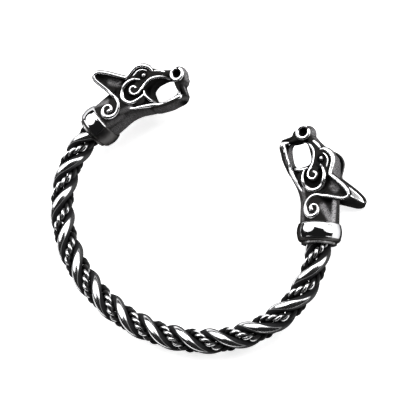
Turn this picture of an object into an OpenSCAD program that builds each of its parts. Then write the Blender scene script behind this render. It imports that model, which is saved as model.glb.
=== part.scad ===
// Arm ring: a rope of four strands laid round an oval, with a cast wolf head on each end.
// The ring lies on its side, on its four ear tips' lower pair and on the back of the rope.
// X runs from head to head, +Y points out of the gap, Z is up. The origin is the oval's centre.

/* [Oval] */
// Half of the oval's width, along X, to the middle of the rope
oval_half_width = 34.5; // [30:0.1:40]
// Half of the oval's depth, along Y, to the middle of the rope
oval_half_depth = 27.5; // [24:0.1:33]
// Angle by which each neck leans in towards the gap
neck_lean = 25.8; // [18:0.2:32]

/* [Rope] */
// How often a strand goes round the rope between its two ends
rope_turns = 6.69; // [5.6:0.01:7.8]
// Thickness of a smooth strand
smooth_d = 2.5; // [1.9:0.02:2.56]
// Thickness of a twisted strand
twisted_d = 1.94; // [1.3:0.02:2]
// Radius at which the middle of a smooth strand goes round
smooth_orbit = 1.76; // [1.7:0.01:2.2]
// Radius at which the middle of a twisted strand goes round
twisted_orbit = 1.89; // [1.8:0.01:2.3]
// Turn of the whole rope about its own middle
lay_start = 53; // [0:1:180]

/* [Collars] */
// Diameter of the barrel
collar_d = 10.4; // [9.8:0.1:12]
// Length of the barrel
collar_length = 4.3; // [3:0.1:6]
// Radius of the barrel's rounded edges
collar_edge = 0.9; // [0.4:0.05:1.1]
// Diameter of the step ring where the rope goes in
step_d = 8.2; // [7.6:0.1:9.2]
// Length of the step ring
step_length = 0.6; // [0.3:0.05:1.2]
// Thickness of the bead round the barrel's neck side
bead_d = 0.4; // [0.3:0.05:0.6]
// How far the rope goes into the collar
rope_depth = 1.8; // [1:0.1:2.2]
// How far the neck goes into the collar's mouth
neck_depth = 0.5; // [0.2:0.1:0.8]

/* [Heads] */
// From the end of the neck, in the collar, to the tip of the nose
head_length = 23.7; // [21:0.1:26]
// From the forehead to the underside of the jaw's tip
head_height = 13.4; // [12:0.1:15]
// Width across the cheeks
head_width = 8.3; // [7.8:0.1:9.4]
// Diameter of the neck
neck_d = 9.0; // [8.2:0.1:9.3]
// Diameter of the peg in the collar
peg_d = 7.2; // [6:0.1:7.6]
// Width across the ear tips
ear_spread = 12.9; // [11.4:0.1:14]
// Thickness of an ear between its rims
ear_wall = 0.9; // [0.7:0.05:1.3]
// Thickness of the raised ribs
rib_d = 0.84; // [0.6:0.02:1.1]
// Diameter of an eye
eye_d = 1.8; // [1.2:0.1:2.2]

/* [Fits] */
// Gap between a piece and the collar that holds it
fit_gap = 0.08; // [0.05:0.01:0.15]

/* [Hidden] */

// Resolution
ROUND_FN = 64;
ARC_STEPS = 240;
SMOOTH_SIDES = 10;
SMOOTH_RINGS_PER_TURN = 11;
TWISTED_SIDES = 8;
TWISTED_RINGS_PER_TURN = 10;
HEAD_SIDES = 16;
RIB_SIDES = 4;
BALL_FN = 10;

// Radii and halves
neck_r = neck_d / 2;
rib_r = rib_d / 2;
collar_r = collar_d / 2;
rope_r = smooth_orbit + smooth_d / 2;
head_half = head_width / 2;
ear_half = ear_spread / 2;

// Where the rope ends and the necks start, as the oval's own angle
joint_t = atan(tan(neck_lean) * oval_half_depth / oval_half_width);
joint = [oval_half_width * cos(joint_t), oval_half_depth * sin(joint_t), 0];

// Columns of a table of sections: place along the head, top, bottom, half width, squareness, taper
PLACE = 0;
TOP = 1;
BOTTOM = 2;
HALF = 3;
SQUARE = 4;
TAPER = 5;

// Rows of the head's sections. Places are shares of head_length from the collar, tops and bottoms are
// shares of head_height, half widths are shares of head_width's half, and squareness 2 is an ellipse.
// A section is wider at its top and narrower at its bottom by its taper's share.
BACK_ROWS = [
    [0.25, 0.328, -0.340, 1.04, 2.1, 0.00],
    [0.35, 0.305, -0.380, 1.03, 2.4, 0.06],
    [0.46, 0.280, -0.470, 0.99, 4.2, 0.12],
    [0.555, 0.268, -0.560, 0.84, 4.2, 0.20]
];
MUZZLE_ROWS = [
    [0.475, 0.270, -0.190, 0.92, 4.5, 0.00],
    [0.56, 0.273, -0.125, 0.89, 5.0, 0.00],
    [0.645, 0.273, -0.095, 0.84, 5.0, 0.00],
    [0.69, 0.238, -0.104, 0.78, 4.2, 0.00],
    [0.74, 0.150, -0.135, 0.66, 2.6, 0.00],
    [0.787, 0.062, -0.187, 0.57, 2.3, 0.00],
    [0.838, -0.030, -0.270, 0.53, 2.0, 0.00],
    [0.89, -0.110, -0.360, 0.53, 2.0, 0.00]
];
JAW_ROWS = [
    [0.50, -0.41, -0.515, 0.69, 2.6, 0.00],
    [0.575, -0.505, -0.590, 0.68, 2.4, 0.05],
    [0.643, -0.568, -0.662, 0.65, 2.4, 0.10],
    [0.71, -0.606, -0.718, 0.61, 2.3, 0.10],
    [0.770, -0.620, -0.755, 0.57, 2.2, 0.10],
    [0.822, -0.628, -0.750, 0.46, 2.0, 0.10],
    [0.855, -0.650, -0.710, 0.28, 2.0, 0.00]
];

// Value of a table's column between its rows, on a smooth curve through them
function slope(rows, column, i) =
    let (a = max(i - 1, 0), b = min(i + 1, len(rows) - 1))
    (rows[b][column] - rows[a][column]) / (rows[b][PLACE] - rows[a][PLACE]);
function row_before(rows, place, i = 0) =
    (i >= len(rows) - 2 || place < rows[i + 1][PLACE]) ? i : row_before(rows, place, i + 1);
function value_at(rows, column, place) =
    let (
        i = row_before(rows, place),
        span = rows[i + 1][PLACE] - rows[i][PLACE],
        u = (place - rows[i][PLACE]) / span
    )
    rows[i][column] * (1 + 2 * u) * (1 - u) * (1 - u)
        + slope(rows, column, i) * span * u * (1 - u) * (1 - u)
        + rows[i + 1][column] * u * u * (3 - 2 * u)
        - slope(rows, column, i + 1) * span * u * u * (1 - u);

// Rows in millimetres, in the head's own frame: x from the collar to the nose, y to the top, z to a side
function head_row(row) = [
    row[PLACE] * head_length, row[TOP] * head_height, row[BOTTOM] * head_height,
    row[HALF] * head_half, row[SQUARE], row[TAPER]
];
back_rows = concat(
    [for (x = [0, 0.12 * head_length]) [x, neck_r, -neck_r, neck_r, 2, 0]],
    [for (row = BACK_ROWS) head_row(row)]
);
muzzle_rows = [for (row = MUZZLE_ROWS) head_row(row)];
jaw_rows = [for (row = JAW_ROWS) head_row(row)];

// Signed power, for rounded squares
function bulge(value, power) = sign(value) * pow(abs(value), power);

// One section of the head as points in its own plane
function section(rows, x) =
    let (
        top = value_at(rows, TOP, x),
        bottom = value_at(rows, BOTTOM, x),
        half = value_at(rows, HALF, x),
        power = 2 / value_at(rows, SQUARE, x),
        taper = value_at(rows, TAPER, x)
    )
    [
        for (k = [0:HEAD_SIDES - 1])
        let (a = 360 * k / HEAD_SIDES, up = bulge(cos(a), power), out = bulge(sin(a), power))
        [x, (top + bottom) / 2 + (top - bottom) / 2 * up, half * (1 + taper * up) * out]
    ];

// Surface through rings that have the same number of points, closed at both ends
module skin(rings) {
    sides = len(rings[0]);
    last = len(rings) - 1;
    walls = [
        for (i = [0:last - 1], k = [0:sides - 1])
        let (a = i * sides + k, b = i * sides + (k + 1) % sides)
        each [[a, b + sides, b], [a, a + sides, b + sides]]
    ];
    start = [for (k = [0:sides - 1]) k];
    end = [for (k = [sides - 1:-1:0]) last * sides + k];
    polyhedron(points = [for (ring = rings) each ring], faces = concat(walls, [start, end]), convexity = 6);
}

module loft(rows, count) {
    from = rows[0][PLACE];
    to = rows[len(rows) - 1][PLACE];
    skin([for (i = [0:count]) section(rows, from + (to - from) * i / count)]);
}

// Unit vector
function unit(v) = v / norm(v);

// Ring of points round the middle of a wire. The first point lies towards up.
function wire_ring(middle, direction, up, radius, sides) =
    let (
        across = unit(cross(direction, up)),
        outward = unit(cross(across, direction))
    )
    [for (k = [0:sides - 1]) middle + radius * (cos(360 * k / sides) * outward + sin(360 * k / sides) * across)];

// Raised rib along points [x, y, z, share of the rib's radius]
module rib(points) {
    last = len(points) - 1;
    function middle(i) = [points[i][0], points[i][1], points[i][2]];
    skin([
        for (i = [0:last])
        wire_ring(
            middle(i), middle(min(i + 1, last)) - middle(max(i - 1, 0)), [0, 0, 1],
            rib_r * points[i][3], RIB_SIDES
        )
    ]);
}

// Points of the head's ribs: a place, a height and a side as shares of the head's three sizes
function spot(place, height, side, thick = 1) =
    [place * head_length, height * head_height, side * head_half, thick];
// The same on an ear, whose lean goes from 0 at the cheek's width to 1 at the tip
ear_reach = ear_half - rib_r;
function ear_spot(place, height, lean, thick = 1) =
    [place * head_length, height * head_height, head_half + lean * (ear_reach - head_half), thick];
// Points of a curl round a centre, from one radius and angle to another
function curl(centre, from_r, to_r, from_a, to_a, ease, steps) = [
    for (i = [0:steps])
    let (
        u = i / steps,
        a = from_a + (to_a - from_a) * u,
        r = from_r + (to_r - from_r) * pow(u, ease)
    )
    [centre[0] + r * cos(a), centre[1] + r * sin(a)]
];
// Thickness of a rib that is thin at both ends
function tapered(u) = 0.4 + 0.6 * sin(180 * u);
function reversed(list) = [for (i = [len(list) - 1:-1:0]) list[i]];

// The ear's two rims, each from its foot to the tip: place, height and lean
EAR_REAR = [
    ear_spot(0.272, 0.164, 0.10), ear_spot(0.253, 0.291, 0.20), ear_spot(0.234, 0.425, 0.50),
    ear_spot(0.224, 0.550, 0.84), ear_spot(0.236, 0.628, 0.99)
];
EAR_FRONT = [
    ear_spot(0.472, 0.258, -0.20), ear_spot(0.428, 0.355, 0.00), ear_spot(0.398, 0.440, 0.35),
    ear_spot(0.350, 0.545, 0.70), ear_spot(0.298, 0.622, 0.97)
];
EAR_TIP = ear_spot(0.262, 0.650, 1.00);

// The curl on the neck that the ear's rear rim runs into
neck_curl = [
    for (p = curl(
        [0.130 * head_length, 0.005 * head_height], 0.195 * head_height, 0.045 * head_height, -20, -430, 1.5, 12
    ))
    [p[0], p[1], sqrt(max(neck_r * neck_r - p[1] * p[1], 0)) + 0.1 * rib_r, 1]
];

// The brow, from the ear's front rim over the eye to the bridge of the nose
BROW = [
    spot(0.540, 0.262, 0.82, 0.95), spot(0.634, 0.265, 0.77, 0.95), spot(0.685, 0.236, 0.72, 0.9),
    spot(0.719, 0.170, 0.68, 0.8), spot(0.745, 0.075, 0.66, 0.6)
];
LID = [
    spot(0.519, 0.168, 0.89, 0.4), spot(0.583, 0.192, 0.86, 0.7), spot(0.638, 0.192, 0.81, 0.75),
    spot(0.681, 0.152, 0.76, 0.7), spot(0.705, 0.085, 0.74, 0.4)
];
LIP = [
    spot(0.838, -0.269, 0.53, 0.7), spot(0.796, -0.194, 0.58, 0.8), spot(0.753, -0.142, 0.66, 0.85),
    spot(0.689, -0.090, 0.77, 0.85), spot(0.609, -0.075, 0.85, 0.85)
];
MOUTH_CORNER = [
    spot(0.549, -0.164, 0.86, 0.5), spot(0.538, -0.254, 0.81, 0.65), spot(0.540, -0.343, 0.76, 0.7),
    spot(0.562, -0.448, 0.70, 0.7), spot(0.596, -0.530, 0.66, 0.7)
];
JAW_RIM = [
    spot(0.294, -0.216, 0.92, 0.4), spot(0.362, -0.313, 0.80, 0.8), spot(0.434, -0.388, 0.74, 1),
    spot(0.506, -0.463, 0.69, 1), spot(0.583, -0.540, 0.66, 1), spot(0.643, -0.590, 0.64, 1),
    spot(0.702, -0.622, 0.60, 1), spot(0.762, -0.640, 0.55, 0.9), spot(0.800, -0.675, 0.46, 0.6)
];

// The ring on the cheek that opens forwards, and the curl inside it that the upper lip ends in
CHEEK = [0.468 * head_length, -0.037 * head_height];
cheek_arc_points = curl(CHEEK, 0.224 * head_height, 0.224 * head_height, 22, 296, 1, 10);
cheek_arc = [
    for (i = [0:len(cheek_arc_points) - 1])
    let (p = cheek_arc_points[i])
    [p[0], p[1], head_half * (1.10 - 0.26 * p[0] / head_length), tapered(i / (len(cheek_arc_points) - 1))]
];
lip_curl = [
    for (p = curl(
        [0.474 * head_length, -0.026 * head_height], 0.125 * head_height, 0.085 * head_height, -35, -375, 0.6, 10
    ))
    [p[0], p[1], head_half, 0.95]
];

// The nostril's open ring on the side of the nose
NOSTRIL = [0.919 * head_length, -0.299 * head_height];
NOSTRIL_STEPS = 8;
nostril_ring = [
    for (i = [0:NOSTRIL_STEPS])
    let (a = 255 - 270 * i / NOSTRIL_STEPS)
    [
        NOSTRIL[0] + 0.092 * head_height * cos(a), NOSTRIL[1] + 0.132 * head_height * sin(a),
        0.59 * head_half, 1 - 0.45 * i / NOSTRIL_STEPS
    ]
];

module ball(spot, r, fn = BALL_FN) {
    translate([spot[0], spot[1], spot[2]]) sphere(r = r, $fn = fn);
}

// Long ball between two spots
module tapered_bar(from, from_r, to, to_r, fn = BALL_FN) {
    hull() {
        ball(from, from_r, fn);
        ball(to, to_r, fn);
    }
}

module nose() {
    tip_r = 0.083 * head_length;
    translate([head_length - tip_r, 0, 0])
        hull() {
            translate([0, -0.27 * head_height, 0]) scale([1, 1, 1.18]) sphere(r = tip_r, $fn = 14);
            translate([-0.2 * tip_r, -0.405 * head_height, 0])
                scale([1, 1, 1.25]) sphere(r = 0.82 * tip_r, $fn = 14);
        }
    // Front wall of the lip, from the nose down to the jaw's tip
    hull() {
        for (side = [-1, 1]) {
            ball(spot(0.895, -0.36, 0.32 * side), 0.050 * head_height, 8);
            ball(spot(0.855, -0.65, 0.24 * side), 0.036 * head_height, 8);
        }
    }
}

// The four corner teeth, which meet and close the front of the mouth
module fangs() {
    for (side = [-1, 1]) {
        tapered_bar(
            spot(0.875, -0.38, 0.42 * side), 0.045 * head_height, spot(0.828, -0.640, 0.42 * side),
            0.016 * head_height, 6
        );
        tapered_bar(
            spot(0.808, -0.682, 0.43 * side), 0.046 * head_height, spot(0.858, -0.510, 0.42 * side),
            0.014 * head_height, 6
        );
    }
}

// One ear: a dished leaf between its two rims, with a root on the back of the head
module ear() {
    dish = 0.2;
    skin([
        for (i = [0:len(EAR_REAR) - 1])
        let (
            rear = [for (c = [0:2]) EAR_REAR[i][c]],
            front = [for (c = [0:2]) EAR_FRONT[i][c]],
            dip = [0, 0, dish * norm(front - rear)],
            wall = [0, 0, ear_wall],
            near_rear = rear + (front - rear) / 3,
            near_front = rear + (front - rear) * 2 / 3
        )
        [rear, near_rear - dip, near_front - dip, front, near_front - dip - wall, near_rear - dip - wall]
    ]);
    tapered_bar(
        spot(0.330, 0.200, 0.60), 0.075 * head_height, ear_spot(0.310, 0.400, -0.1), 0.040 * head_height, 6
    );
}

// Everything raised on one side of the head
module side_relief() {
    rib(concat(reversed(neck_curl), EAR_REAR, [EAR_TIP], reversed(EAR_FRONT), BROW));
    rib(LID);
    rib(cheek_arc);
    rib(concat(LIP, lip_curl));
    rib(MOUTH_CORNER);
    rib(JAW_RIM);
    rib(nostril_ring);
    ball(spot(0.643, 0.067, 0.77), eye_d / 2, 8);
    ear();
}

// A head in its own frame, with the peg that its collar holds. The peg stays clear of the strands' slanted ends.
module head_form() {
    peg_length = neck_start - smooth_d / 2 * sin(lay_angle) - fit_gap;
    translate([-peg_length, 0, 0])
        rotate([0, 90, 0]) cylinder(h = peg_length + 0.1 * head_length, d = peg_d, $fn = 24);
    loft(back_rows, 11);
    loft(muzzle_rows, 9);
    loft(jaw_rows, 6);
    nose();
    fangs();
    side_relief();
    mirror([0, 0, 1]) side_relief();
}

// Length of rope from the middle of its back to an angle past it, as pairs of length and angle
ARC_SPARE = 4;
function oval_point(t) = [oval_half_width * cos(t), oval_half_depth * sin(t), 0];
function oval_way(t) = unit([-oval_half_width * sin(t), oval_half_depth * cos(t), 0]);
function arc_angle(i) = (90 + joint_t + ARC_SPARE) * i / ARC_STEPS;
function arc_step(i) = norm(oval_point(arc_angle(i + 1) - 90) - oval_point(arc_angle(i) - 90));
arc_table = [
    for (i = 0, length = 0; i <= ARC_STEPS; length = length + arc_step(i), i = i + 1)
    [length, arc_angle(i)]
];
half_length = lookup(90 + joint_t, [for (row = arc_table) [row[1], row[0]]]);
function oval_angle(length) = sign(length) * lookup(abs(length), arc_table) - 90;

// Length of rope in which a strand goes round once, and how far its way slants there
lay_length = 2 * half_length / rope_turns;
lay_angle = atan(2 * PI * smooth_orbit / lay_length);

// Direction from the rope's middle to a strand, and the strand's own middle, at a length along the rope
function strand_side(length, start) =
    let (turn = start + 180 * rope_turns * length / half_length)
    cos(turn) * [0, 0, 1] + sin(turn) * cross(oval_way(oval_angle(length)), [0, 0, 1]);
function strand_middle(length, orbit, start) =
    oval_point(oval_angle(length)) + orbit * strand_side(length, start);

module strand(orbit, d, start, sides, rings_per_turn) {
    rings = ceil(rope_turns * rings_per_turn);
    reach = 0.01 * lay_length;
    skin([
        for (i = [0:rings])
        let (length = half_length * (2 * i / rings - 1))
        wire_ring(
            strand_middle(length, orbit, start),
            strand_middle(length + reach, orbit, start) - strand_middle(length - reach, orbit, start),
            strand_side(length, start), d / 2, sides
        )
    ]);
}

// The collar's own axis is X, and its rope end is at the left. Zero is where the rope ends. The neck
// starts in the collar's mouth.
collar_face = collar_length + step_length - rope_depth;
neck_start = collar_face - neck_depth;
joint_bend = pow(
    pow(oval_half_width * sin(joint_t), 2) + pow(oval_half_depth * cos(joint_t), 2), 1.5
) / (oval_half_width * oval_half_depth);
rope_bow = rope_depth * rope_depth / (2 * joint_bend);

module collar_form() {
    rope_bore_r = rope_r + fit_gap + rope_bow;
    peg_bore_r = peg_d / 2 + fit_gap;
    barrel_start = step_length - rope_depth;
    barrel_core_r = collar_r - collar_edge;
    rotate([0, 90, 0])
        rotate_extrude($fn = ROUND_FN) {
            translate([rope_bore_r, -rope_depth]) square([step_d / 2 - rope_bore_r, rope_depth]);
            difference() {
                union() {
                    translate([rope_bore_r, barrel_start]) square([barrel_core_r - rope_bore_r, collar_length]);
                    translate([rope_bore_r, barrel_start + collar_edge])
                        square([collar_r - rope_bore_r, collar_length - 2 * collar_edge]);
                    for (y = [barrel_start + collar_edge, collar_face - collar_edge])
                        translate([barrel_core_r, y]) circle(r = collar_edge, $fn = ROUND_FN);
                    translate([neck_r + fit_gap + bead_d / 2, collar_face - bead_d / 2])
                        circle(d = bead_d, $fn = ROUND_FN);
                }
                square([peg_bore_r, collar_face + bead_d]);
                translate([0, neck_start - fit_gap]) square([neck_r + fit_gap, neck_depth + fit_gap + bead_d]);
            }
        }
}

// From a neck's own frame to its place at the right end of the rope
module at_right_end() {
    translate(joint) rotate([0, 0, 90 + neck_lean]) rotate([180, 0, 0]) children();
}

// The ring as it lies: the ears hold the heads up, so it tips back onto the rope
ear_tip_y = joint[1] + (neck_start + EAR_TIP[0]) * cos(neck_lean) + EAR_TIP[1] * sin(neck_lean);
ear_span = [ear_tip_y + oval_half_depth, ear_reach];
rest_tilt = atan2(ear_span[1], ear_span[0]) - asin((rope_r - rib_r) / norm(ear_span));

module lying() {
    rotate([rest_tilt, 0, 0]) children();
}

module head_right() {
    color("slategray") lying() at_right_end() translate([neck_start, 0, 0]) head_form();
}

module head_left() {
    color("slategray") lying() mirror([1, 0, 0]) at_right_end() translate([neck_start, 0, 0]) head_form();
}

module collar_right() {
    color("silver") lying() at_right_end() collar_form();
}

module collar_left() {
    color("silver") lying() mirror([1, 0, 0]) at_right_end() collar_form();
}

module smooth_strand(start) {
    color("lightgray") lying() strand(smooth_orbit, smooth_d, start, SMOOTH_SIDES, SMOOTH_RINGS_PER_TURN);
}

module twisted_strand(start) {
    color("dimgray") lying() strand(twisted_orbit, twisted_d, start, TWISTED_SIDES, TWISTED_RINGS_PER_TURN);
}

head_left();
head_right();
collar_left();
collar_right();
smooth_strand(lay_start);  // smooth_strand_1
smooth_strand(lay_start + 180);  // smooth_strand_2
twisted_strand(lay_start + 90);  // twisted_strand_1
twisted_strand(lay_start + 270);  // twisted_strand_2
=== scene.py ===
"""Look of the arm ring: its twisted rope, ferrules and cast wolf heads, on a pale floor."""

import sys

import logging
import math
from dataclasses import dataclass, field
from enum import Enum
from typing import Iterable, Sequence

import bpy
import numpy as np
from mathutils import Matrix, Vector


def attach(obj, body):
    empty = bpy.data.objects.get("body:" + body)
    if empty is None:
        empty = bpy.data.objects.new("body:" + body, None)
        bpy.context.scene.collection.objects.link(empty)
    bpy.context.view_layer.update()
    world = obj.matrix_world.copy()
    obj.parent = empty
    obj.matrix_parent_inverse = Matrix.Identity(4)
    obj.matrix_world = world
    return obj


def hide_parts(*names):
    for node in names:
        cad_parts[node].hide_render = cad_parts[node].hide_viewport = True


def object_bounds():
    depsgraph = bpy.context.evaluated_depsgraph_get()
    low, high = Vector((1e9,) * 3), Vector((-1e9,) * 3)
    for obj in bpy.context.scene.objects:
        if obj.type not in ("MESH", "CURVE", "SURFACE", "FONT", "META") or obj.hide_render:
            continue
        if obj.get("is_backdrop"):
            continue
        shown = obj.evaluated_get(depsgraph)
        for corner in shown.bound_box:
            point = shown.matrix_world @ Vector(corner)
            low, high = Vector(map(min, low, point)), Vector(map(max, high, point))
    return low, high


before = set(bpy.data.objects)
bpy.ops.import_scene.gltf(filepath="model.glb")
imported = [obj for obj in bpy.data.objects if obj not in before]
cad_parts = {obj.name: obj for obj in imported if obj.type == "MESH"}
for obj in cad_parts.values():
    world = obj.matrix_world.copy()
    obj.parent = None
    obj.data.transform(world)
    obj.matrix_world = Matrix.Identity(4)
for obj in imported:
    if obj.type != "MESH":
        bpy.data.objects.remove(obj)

MM = 0.001
INSIDE = 1e-3
SMALL = 1e-4
TINY = 1e-9
UP = np.array([0.0, 0.0, 1.0])
CORNERS = [(a, b, c) for a in (0, 1) for b in (0, 1) for c in (0, 1)]
log = logging.getLogger("arm_ring")

Band = tuple[float, float]
Triple = tuple[float, float, float]
Colour = Triple
Table = tuple[tuple[float, ...], ...]
Points = np.ndarray
Faces = list[Sequence[int]]
Window = tuple[slice, ...]
Values = dict[int | str, object]


class Side(Enum):
    """The two ends of the ring, and the sign of X there."""

    RIGHT = 1
    LEFT = -1


class Signal:
    """A socket's value in a material, which takes part in arithmetic."""

    def __init__(self, bench: "Bench", socket: bpy.types.NodeSocket) -> None:
        """Wraps the output socket of one of the bench's nodes."""
        self.bench = bench
        self.socket = socket

    def _math(self, operation: str, first: "Signal | float", second: "Signal | float") -> "Signal":
        """Adds the Math node of one operation."""
        return self.bench.node("ShaderNodeMath", {"operation": operation}, {0: first, 1: second})

    def __add__(self, other: "Signal | float") -> "Signal":
        """self + other"""
        return self._math("ADD", self, other)

    def __radd__(self, other: float) -> "Signal":
        """other + self"""
        return self._math("ADD", other, self)

    def __sub__(self, other: "Signal | float") -> "Signal":
        """self - other"""
        return self._math("SUBTRACT", self, other)

    def __rsub__(self, other: float) -> "Signal":
        """other - self"""
        return self._math("SUBTRACT", other, self)

    def __mul__(self, other: "Signal | float") -> "Signal":
        """self * other"""
        return self._math("MULTIPLY", self, other)

    def __rmul__(self, other: float) -> "Signal":
        """other * self"""
        return self._math("MULTIPLY", other, self)

    def clamped(self) -> "Signal":
        """The value held between 0 and 1."""
        return self.bench.node("ShaderNodeClamp", {}, {"Value": self, "Min": 0.0, "Max": 1.0})


class Bench:
    """Builds one material's nodes."""

    def __init__(self, name: str) -> None:
        """Starts a material that holds only its output and a Principled shader.

        Args:
            name: The material's name.
        """
        self.material = bpy.data.materials.new(name)
        self.material.use_nodes = True
        self.tree = self.material.node_tree
        self.shader = next(n for n in self.tree.nodes if n.type == "BSDF_PRINCIPLED")

    def node(
        self, kind: str, settings: Values, sockets: Values, output: int | str = 0
    ) -> Signal:
        """Adds a node.

        Args:
            kind: The node's type.
            settings: Its properties by name, which are set first.
            sockets: Values or signals for its inputs, by name or number.
            output: Which of its outputs to return.

        Returns:
            The chosen output.
        """
        node = self.tree.nodes.new(kind)
        for name, value in settings.items():
            setattr(node, name, value)
        for key, value in sockets.items():
            self._feed(node.inputs[key], value)
        return Signal(self, node.outputs[output])

    def _feed(self, socket: bpy.types.NodeSocket, value: object) -> None:
        """Links a signal to a socket, or sets a plain value on it."""
        if isinstance(value, Signal):
            self.tree.links.new(value.socket, socket)
        else:
            socket.default_value = value

    def mask(self, name: str) -> Signal:
        """A value that the mesh carries at each of its points."""
        return self.node("ShaderNodeAttribute", {"attribute_name": name}, {}, "Fac")

    def noise(self, grain: float, detail: float = 3.0, stretch: Triple | None = None) -> Signal:
        """Smooth noise over the object.

        Args:
            grain: Size of its blots, in millimetres.
            detail: How many finer layers it has.
            stretch: Scale along each axis.

        Returns:
            The noise, mostly between 0.3 and 0.7.
        """
        place = self.node("ShaderNodeTexCoord", {}, {}, "Object")
        if stretch:
            scaled = {0: place, 1: stretch}
            place = self.node("ShaderNodeVectorMath", {"operation": "MULTIPLY"}, scaled)
        sockets = {"Vector": place, "Scale": 1 / (grain * MM), "Detail": detail}
        return self.node("ShaderNodeTexNoise", {}, sockets, "Fac")

    def blots(self, grain: float, strength: float, detail: float = 3.0) -> Signal:
        """Noise of one grain that swings round 0, times a strength."""
        return (self.noise(grain, detail) - 0.5) * strength

    def worn_polish(self, grain: float, wear: float, band: Band) -> Signal:
        """The mesh's polish with worn edges.

        Args:
            grain: Size of the worn spots, in millimetres.
            wear: How strongly they break up the edges.
            band: Where in the mask the polish starts, and where it is whole.

        Returns:
            The polish, from 0 to 1.
        """
        worn = self.mask("polish") + self.blots(grain, wear)
        ends = {"From Min": band[0], "From Max": band[1], "To Min": 0.0, "To Max": 1.0}
        smooth = {"interpolation_type": "SMOOTHSTEP"}
        return self.node("ShaderNodeMapRange", smooth, {"Value": worn, **ends})

    def blend(self, share: Signal, start: "Signal | Colour", end: "Signal | Colour") -> Signal:
        """A colour between two, by a share from 0 to 1.

        Args:
            share: How far it is from the start to the end.
            start: The colour at 0.
            end: The colour at 1.

        Returns:
            The colour.
        """
        first, second = (c if isinstance(c, Signal) else (*c, 1.0) for c in (start, end))
        sockets = {0: share, 6: first, 7: second}
        return self.node("ShaderNodeMix", {"data_type": "RGBA"}, sockets, 2)

    def bump(self, height: Signal, strength: float, distance: float) -> Signal:
        """Normals dented by a height."""
        sockets = {"Height": height, "Strength": strength, "Distance": distance}
        return self.node("ShaderNodeBump", {}, sockets)

    def finish(self, values: Values) -> bpy.types.Material:
        """Feeds the Principled shader's sockets and returns the material.

        Args:
            values: Values or signals by the sockets' names.

        Returns:
            The finished material.
        """
        for name, value in values.items():
            self._feed(self.shader.inputs[name], value)
        return self.material


@dataclass(frozen=True)
class MetalFinish:
    """Metal polished where it is raised and black where no cloth reaches.

    The mesh carries "polish", 1 where the metal is bright and 0 where it is black; where the pieces
    set it, it also holds painted shade on rims and outlines, and painted highlights. It may also
    carry "open", 1 on open ground and 0 deep in a hollow, from which the ground is painted darker
    in hollows as shade, and a mask of painted grey sheen on the ground. Grains are in millimetres.
    """

    name: str
    bright: Colour = (0.62, 0.62, 0.63)
    # Ground colours: dark on open ground, black deep in hollows as painted shade.
    dark: Colour = (0.017, 0.0165, 0.016)
    black: Colour = (0.004, 0.004, 0.004)
    # Colour of the painted grey sheen.
    painted_light: Colour = (0.3, 0.29, 0.3)
    rim_tint: Colour = (0.03, 0.03, 0.03)
    bright_roughness: float = 0.14
    black_roughness: float = 0.30
    polish_band: Band = (0.25, 0.75)
    wear_grain: float = 0.9
    wear: float = 0.35
    dent_grain: float = 0.7
    dent_depth: float = 0.012
    cast_grain: float = 0.3
    cast_depth: float = 0.0
    bump_strength: float = 0.5
    smudge_grain: float = 2.6
    smudge: float = 0.10
    # Grain, contrast and strength of the painted grey sheen.
    sheen_grain: float = 0.16
    sheen_contrast: float = 4.0
    sheen_strength: float = 0.7

    def material(self) -> bpy.types.Material:
        """Builds the finish's material."""
        bench = Bench(self.name)
        polish = bench.worn_polish(self.wear_grain, self.wear, self.polish_band)
        roughness = polish * (self.bright_roughness - self.black_roughness) + self.black_roughness
        # Painted grey sheen, broken by grain, where the sheen mask is set.
        grains = bench.blots(self.sheen_grain, self.sheen_contrast, 1.0) + self.sheen_strength
        painted_sheen = (bench.mask("painted_sheen") * grains).clamped()
        # Painted shade: the ground goes from dark on open ground to black deep in hollows.
        black = bench.blend(bench.mask("open"), self.black, self.dark)
        ground = bench.blend(painted_sheen, black, self.painted_light)
        cast = (1.0 - polish) * bench.noise(self.cast_grain, 2.0) * self.cast_depth
        height = bench.noise(self.dent_grain) * self.dent_depth + cast
        return bench.finish(
            {
                "Base Color": bench.blend(polish, ground, self.bright),
                "Metallic": (polish + painted_sheen).clamped(),
                "Roughness": (roughness + bench.blots(self.smudge_grain, self.smudge)).clamped(),
                "Specular IOR Level": 0.0,
                "Specular Tint": (*self.rim_tint, 1.0),
                "Normal": bench.bump(height, self.bump_strength, MM),
            }
        )


@dataclass(frozen=True)
class MirrorFinish:
    """Mirror-polished metal with faint hairlines, dull where the rope goes in and darkened by
    painted shade on the ring's rim.
    """

    name: str
    bright: Colour = (0.58, 0.58, 0.59)
    dull: Colour = (0.07, 0.068, 0.067)
    rim_tint: Colour = (0.05, 0.05, 0.05)
    roughness: float = 0.07
    dull_roughness: float = 0.38
    polish_band: Band = (0.2, 0.7)
    scuff_grain: float = 0.6
    scuff: float = 0.5
    smudge_grain: float = 1.8
    smudge: float = 0.06
    hairline_grain: float = 0.35
    hairline_stretch: Triple = (1.0, 0.15, 1.0)
    hairline_depth: float = 0.0015
    bump_strength: float = 0.4

    def material(self) -> bpy.types.Material:
        """Builds the finish's material."""
        bench = Bench(self.name)
        polish = bench.worn_polish(self.scuff_grain, self.scuff, self.polish_band)
        roughness = polish * (self.roughness - self.dull_roughness) + self.dull_roughness
        hairlines = bench.noise(self.hairline_grain, 2.0, self.hairline_stretch)
        return bench.finish(
            {
                "Base Color": bench.blend(polish, self.dull, self.bright),
                "Metallic": 1.0,
                "Roughness": (roughness + bench.blots(self.smudge_grain, self.smudge)).clamped(),
                "Specular Tint": (*self.rim_tint, 1.0),
                "Normal": bench.bump(hairlines, self.bump_strength, self.hairline_depth * MM),
            }
        )


def add_object(name: str, data: bpy.types.ID) -> bpy.types.Object:
    """Adds an object with its data to the scene.

    Args:
        name: Its name.
        data: Its mesh, light or camera.

    Returns:
        The object.
    """
    made = bpy.data.objects.new(name, data)
    bpy.context.scene.collection.objects.link(made)
    return made


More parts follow.
